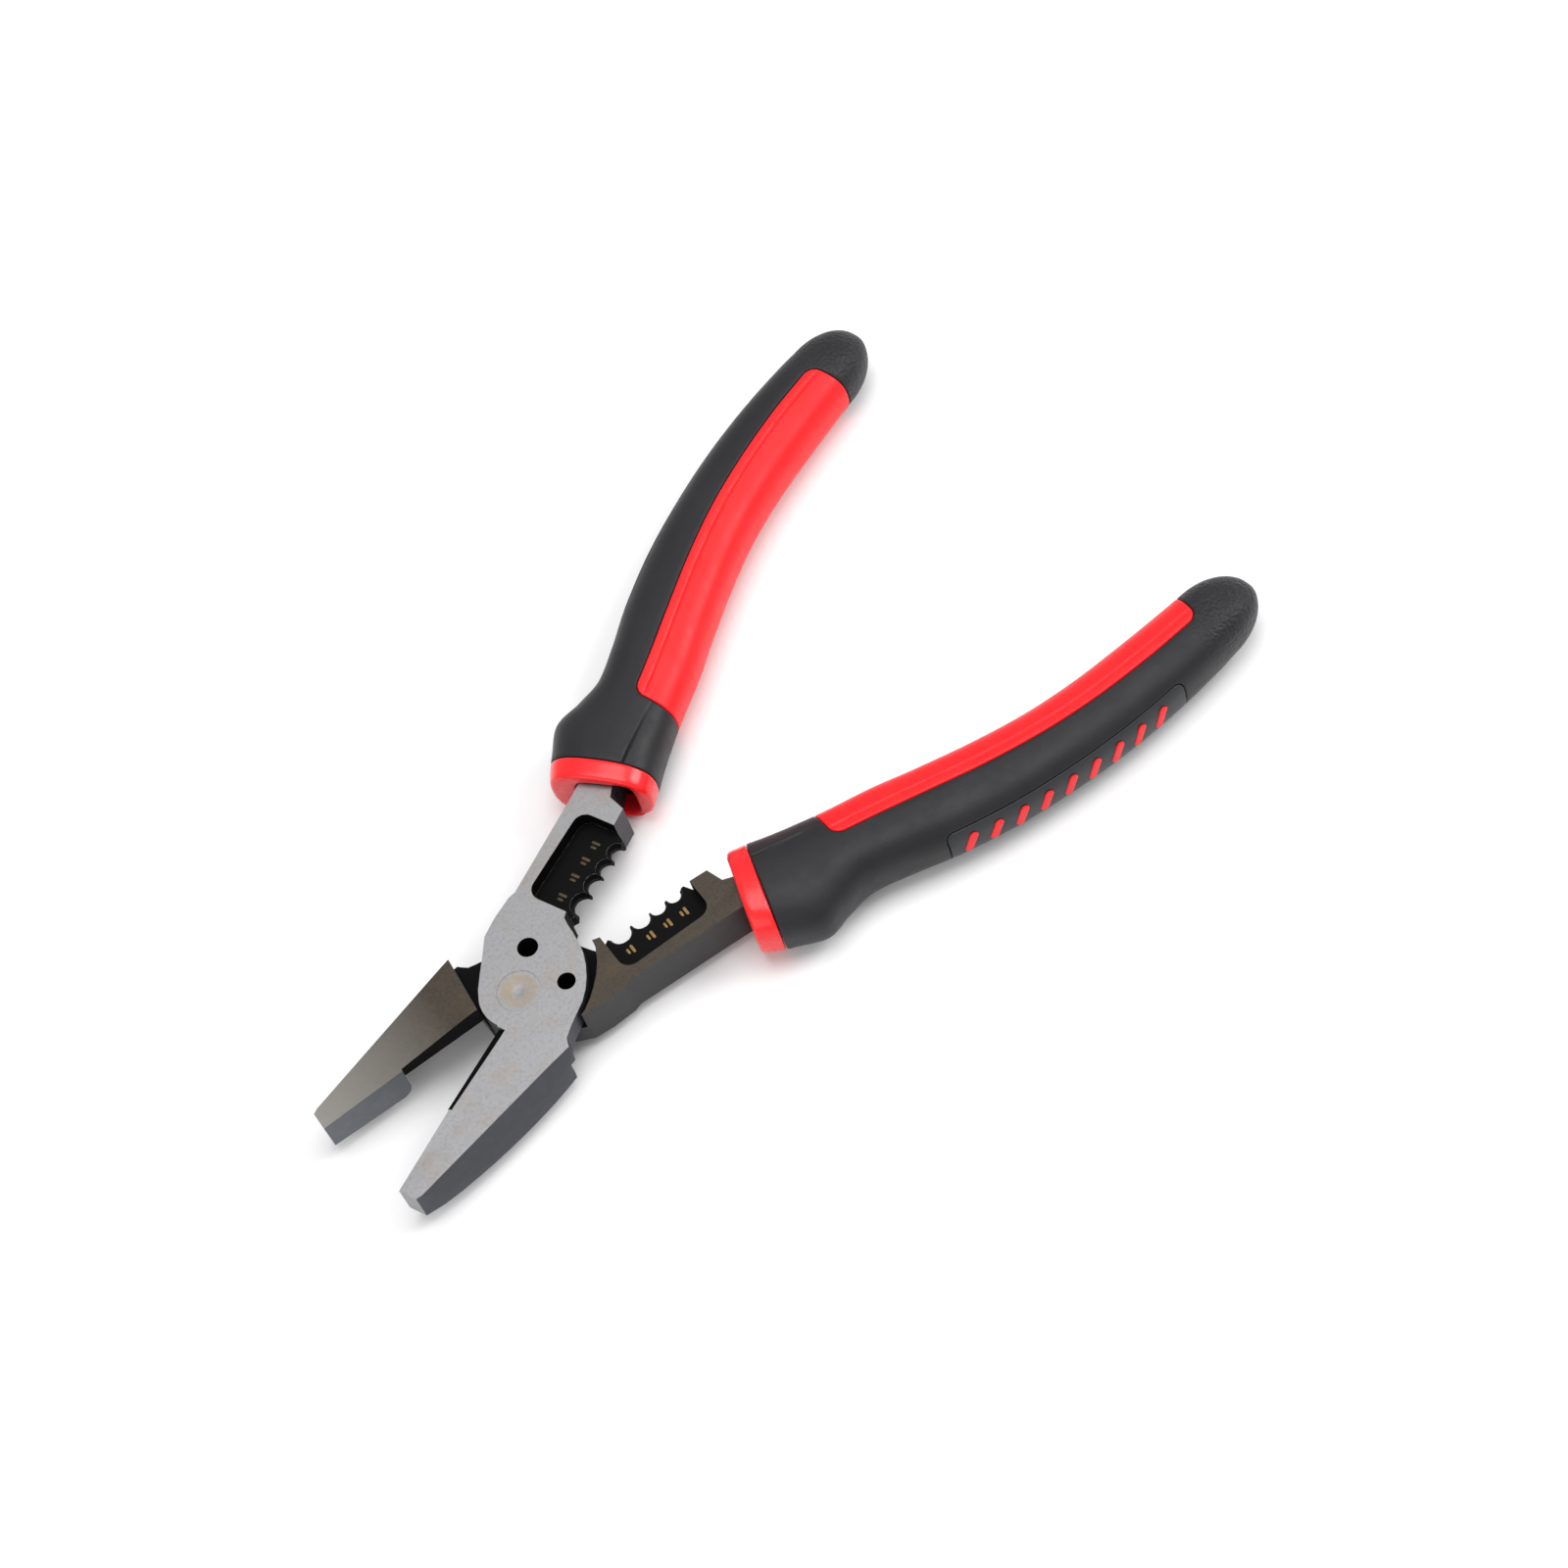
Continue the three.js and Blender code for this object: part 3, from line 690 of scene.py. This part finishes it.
def grip_piece(name, skin, normals, side, keep, edge, look, slot, replaces):
    """The part of the skin that keep() picks, as a closed shell with rounded borders."""
    chosen = [f for f in skin.faces if keep([skin.values[i] for i in f])]
    used = sorted({i for f in chosen for i in f})
    bm = bmesh.new()
    outer, inner = {}, {}
    for i in used:
        p, n, v = Vector(skin.points[i]), normals[i], skin.values[i]
        depth = round_off(edge(v), SEAM_ROUND) + crease_depth(v)
        outer[i] = bm.verts.new(place(p - n * depth, side))
        inner[i] = bm.verts.new(place(p - n * SKIN, side))
    turned = side == "rear"
    border = set()
    for f in chosen:
        loop = list(reversed(f)) if turned else f
        bm.faces.new([outer[i] for i in loop])
        bm.faces.new([inner[i] for i in reversed(loop)])
        for a, b in zip(loop, loop[1:] + loop[:1]):
            if (b, a) in border:
                border.remove((b, a))
            else:
                border.add((a, b))
    for a, b in sorted(border):
        bm.faces.new([outer[b], outer[a], inner[a], inner[b]])
    bmesh.ops.recalc_face_normals(bm, faces=bm.faces)
    return new_object(name, mesh_of(bm, name, CREASED_RUBBER), side, slot, [look], replaces)


def collar(side):
    """The red collar: a rounded ring round a squarish bore."""
    back = COLLAR_LENGTH - SEAM_HALF
    outside = []
    for depth in (0.0, 0.08, 0.25, 0.55, COLLAR_ROUND, 1.8, 3.0, 4.2, back - SEAM_ROUND, back - 0.18, back):
        inset = round_off(depth, COLLAR_ROUND) + round_off(back - depth, SEAM_ROUND)
        outside.append(ring(t_at(depth), 0.0, inset))
    start, along = line_point(0.0), line_tangent(0.0)
    across = Vector((along.y, -along.x))
    middle = (COLLAR_BORE["inner"] - COLLAR_BORE["outer"]) / 2
    wide = (COLLAR_BORE["inner"] + COLLAR_BORE["outer"]) / 2

    def bore(depth, grow):
        points = []
        for i in range(AROUND):
            a = 2 * math.pi * i / AROUND
            c, s = math.cos(a), math.sin(a)
            u = math.copysign(abs(c) ** 0.4, c) * (wide + grow) + middle
            v = math.copysign(abs(s) ** 0.4, s) * (COLLAR_BORE["half"] + grow)
            at = start + along * depth + across * u
            points.append((at.x, at.y, v))
        return points

    inside = [bore(back, 0.0), bore(3.0, 0.0), bore(0.6, 0.0)]
    inside += [bore(0.15, 0.2), bore(0.0, 0.55), bore(0.0, 1.0)]
    bm = bmesh.new()
    rows = [[bm.verts.new(place(p, side)) for p in loop] for loop in inside + outside]
    for a, b in zip(rows, rows[1:] + rows[:1]):
        join_rings(bm, a, b)
    bmesh.ops.recalc_face_normals(bm, faces=bm.faces)
    name = side + "_collar_moulding"
    mesh = mesh_of(bm, name, CREASED_RUBBER)
    return new_object(name, mesh, side, "red_gloss", [red_gloss], [side + "_grip_collar"])


# ---- rivet and marks -------------------------------------------------------------------------------------
def rivet():
    """The rivet: two flush heads with a shallow dimple, on a shank."""
    half, head = HEAD_HALF, RIVET_HEAD_R
    profile = [(0.0, half - 0.1), (0.7, half - 0.08), (1.15, half - 0.04), (1.6, half - 0.01), (1.8, half),
               (head - 0.04, half), (head, half - 0.03), (head, half - 0.4), (4.0, 4.0)]
    full = profile + [(r, -z) for r, z in reversed(profile)]
    around = 96
    bm = bmesh.new()
    rows = []
    for r, z in full:
        angles = [2 * math.pi * j / around for j in range(around if r else 1)]
        rows.append([bm.verts.new(place((r * math.cos(a), r * math.sin(a), z), "front")) for a in angles])
    for a, b in zip(rows, rows[1:]):
        join_rings(bm, a, b)
    bmesh.ops.recalc_face_normals(bm, faces=bm.faces)
    mesh = mesh_of(bm, "pivot_rivet_steel", CREASED_RIVET)
    return new_object("pivot_rivet_steel", mesh, "rear", "rivet_steel", [rivet_look], ["pivot_rivet"])


def pill(bm, centre, direction, length, width, height, side, up):
    """A low rounded bar on a surface: centre, direction and up are in the closed plan."""
    d, n = Vector(direction).normalized(), Vector(up).normalized()
    w = n.cross(d).normalized()
    half = length / 2 - width / 2
    end_steps = 8
    loops = []
    # Shares of the height and of the width, from under the surface to the rounded top.
    for rise, share in ((-0.15, 1.0), (0.6, 1.0), (0.9, 0.88), (1.0, 0.7)):
        r = width / 2 * share
        points = []
        for end in (1, -1):
            for i in range(end_steps + 1):
                a = (i / end_steps - 0.5) * math.pi
                points.append(d * (end * (half + r * math.cos(a))) + w * (end * r * math.sin(a)))
        loops.append([bm.verts.new(place(Vector(centre) + p + n * height * rise, side)) for p in points])
    for a, b in zip(loops, loops[1:]):
        join_rings(bm, a, b)
    bm.faces.new(loops[-1])
    bm.faces.new(list(reversed(loops[0])))


def notch_marks(side, look):
    """A long and a short dash beside each wire notch, on the web's front and back."""
    raised, gap = 0.06, 1.15
    bm = bmesh.new()
    for x in NOTCHES_X:
        for face in (1, -1):
            z = face * WEB_HALF
            for shift, length, width in ((0, 2.2, 0.7), (gap, 1.5, 0.6)):
                centre = (x + shift, NOTCH_MARK_Y, z)
                pill(bm, centre, (0, 1, 0), length, width, raised, side, (0, 0, face))
    bmesh.ops.recalc_face_normals(bm, faces=bm.faces)
    name = side + "_notch_marks"
    return new_object(name, mesh_of(bm, name, CREASED_STEEL), side, STEEL_SLOT[side], [look])


def panel_bars(side):
    """A row of slanting raised bars along the outer panel."""
    bm = bmesh.new()
    for i in range(BARS["count"]):
        t = t_at_x(BARS["first_x"] - i * BARS["pitch"])
        along = line_tangent(t)
        across = Vector((along.y, -along.x))
        at = line_point(t) - across * (curve_point(3, t) - BARS["sunk"])
        slanted = (along.x * BARS["slant"], along.y * BARS["slant"], 0.9)
        pill(bm, (at.x, at.y, 0.3), slanted, *BARS["size"], side, (-across.x, -across.y, 0))
    bmesh.ops.recalc_face_normals(bm, faces=bm.faces)
    name = side + "_panel_bars"
    return new_object(name, mesh_of(bm, name, CREASED_RUBBER), side, "red_rubber", [red_inlay])


# ---- the object ------------------------------------------------------------------------------------------
arm("front", [face_front, side_oxide, near_black_oxide_and_shade, jaw_grip])
arm("rear", [face_rear, side_dark, near_black_oxide_and_shade, jaw_grip])
rivet()

skin = grip_skin()
skin_normals = skin.normals()


def mean(values, key):
    return sum(v[key] for v in values) / len(values)


def in_inlay(values):
    return mean(values, "inlay") > SEAM_HALF


def in_panel(values):
    return mean(values, "panel") > SEAM_HALF


def in_cover(values):
    return mean(values, "inlay") < -SEAM_HALF and mean(values, "panel") < -SEAM_HALF


for side in ("front", "rear"):
    collar(side)
    grip_piece(side + "_cover_rubber", skin, skin_normals, side, in_cover,
               lambda v: min(-v["inlay"] - SEAM_HALF, -v["panel"] - SEAM_HALF, v["behind"]),
               rubber_black[side], "black_rubber", [side + "_grip_cover"])
    grip_piece(side + "_inlay_rubber", skin, skin_normals, side, in_inlay,
               lambda v: v["inlay"] - SEAM_HALF, red_inlay, "red_rubber", [side + "_grip_inlay"])
    grip_piece(side + "_panel_rubber", skin, skin_normals, side, in_panel,
               lambda v: v["panel"] - SEAM_HALF, rubber_panel, "panel_rubber", [side + "_grip_panel"])
    if side == "rear":
        panel_bars(side)
    notch_marks(side, mark_dim if side == "front" else mark_gold)
    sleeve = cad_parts[side + "_grip_sleeve"]
    sleeve.data.materials.clear()
    sleeve.data.materials.append(sleeve_plastic.mat)

# ---- floor, light and camera -----------------------------------------------------------------------------
FLOOR_HALF = 3.0
floor_z = cad_low.z - 0.2 * MM
corners = [(x * FLOOR_HALF, y * FLOOR_HALF, floor_z) for x, y in ((-1, -1), (1, -1), (1, 1), (-1, 1))]
floor_mesh = bpy.data.meshes.new("studio_floor")
floor_mesh.from_pydata(corners, [], [(0, 1, 2, 3)])
floor_mesh.update()
floor_look = Surface("studio_floor", (244, 244, 245), 0.8, Specular_IOR_Level=0.1)
floor_look.tint(floor_look.ranged(floor_look.noise(6, 3.0), 0.4, 0.7, 0.0, 0.3), (248, 248, 248))
floor_mesh.materials.append(floor_look.mat)
floor = bpy.data.objects.new("studio_floor", floor_mesh)
bpy.context.scene.collection.objects.link(floor)


def area_light(name, location, target, size, power):
    light = bpy.data.lights.new(name, "AREA")
    light.shape = "DISK"
    light.size = size
    light.energy = power
    made = bpy.data.objects.new(name, light)
    made.location = location
    made.rotation_mode = "QUATERNION"
    made.rotation_quaternion = (Vector(target) - Vector(location)).to_track_quat("-Z", "Y")
    bpy.context.scene.collection.objects.link(made)
    return made


middle = (cad_low + cad_high) / 2
area_light("overhead", (-0.25, -0.1, 1.5), middle, 1.2, 12)
area_light("key", (-1.1, 0.5, 0.9), middle, 0.7, 9)
area_light("fill", (0.9, 0.3, 0.6), middle, 1.0, 3)

world = bpy.data.worlds.new("studio")
world.use_nodes = True
background = world.node_tree.nodes["Background"]
background.inputs["Color"].default_value = (1, 1, 1, 1)
background.inputs["Strength"].default_value = 0.62
bpy.context.scene.world = world

camera_data = bpy.data.cameras.new("camera")
camera_data.sensor_width = 36
camera_data.lens = 90
camera_data.clip_start, camera_data.clip_end = 0.01, 20
camera = bpy.data.objects.new("camera", camera_data)
camera.location = (0.1517, 0.4168, 0.7357)
aim = Vector((-0.0754, 0.0091, -0.0057))
camera.rotation_mode = "QUATERNION"
facing = (aim - camera.location).to_track_quat("-Z", "Y")
camera.rotation_quaternion = facing @ Quaternion((0, 0, 1), math.radians(-21.12))
bpy.context.scene.collection.objects.link(camera)
bpy.context.scene.camera = camera
bpy.context.scene.view_settings.view_transform = "Standard"
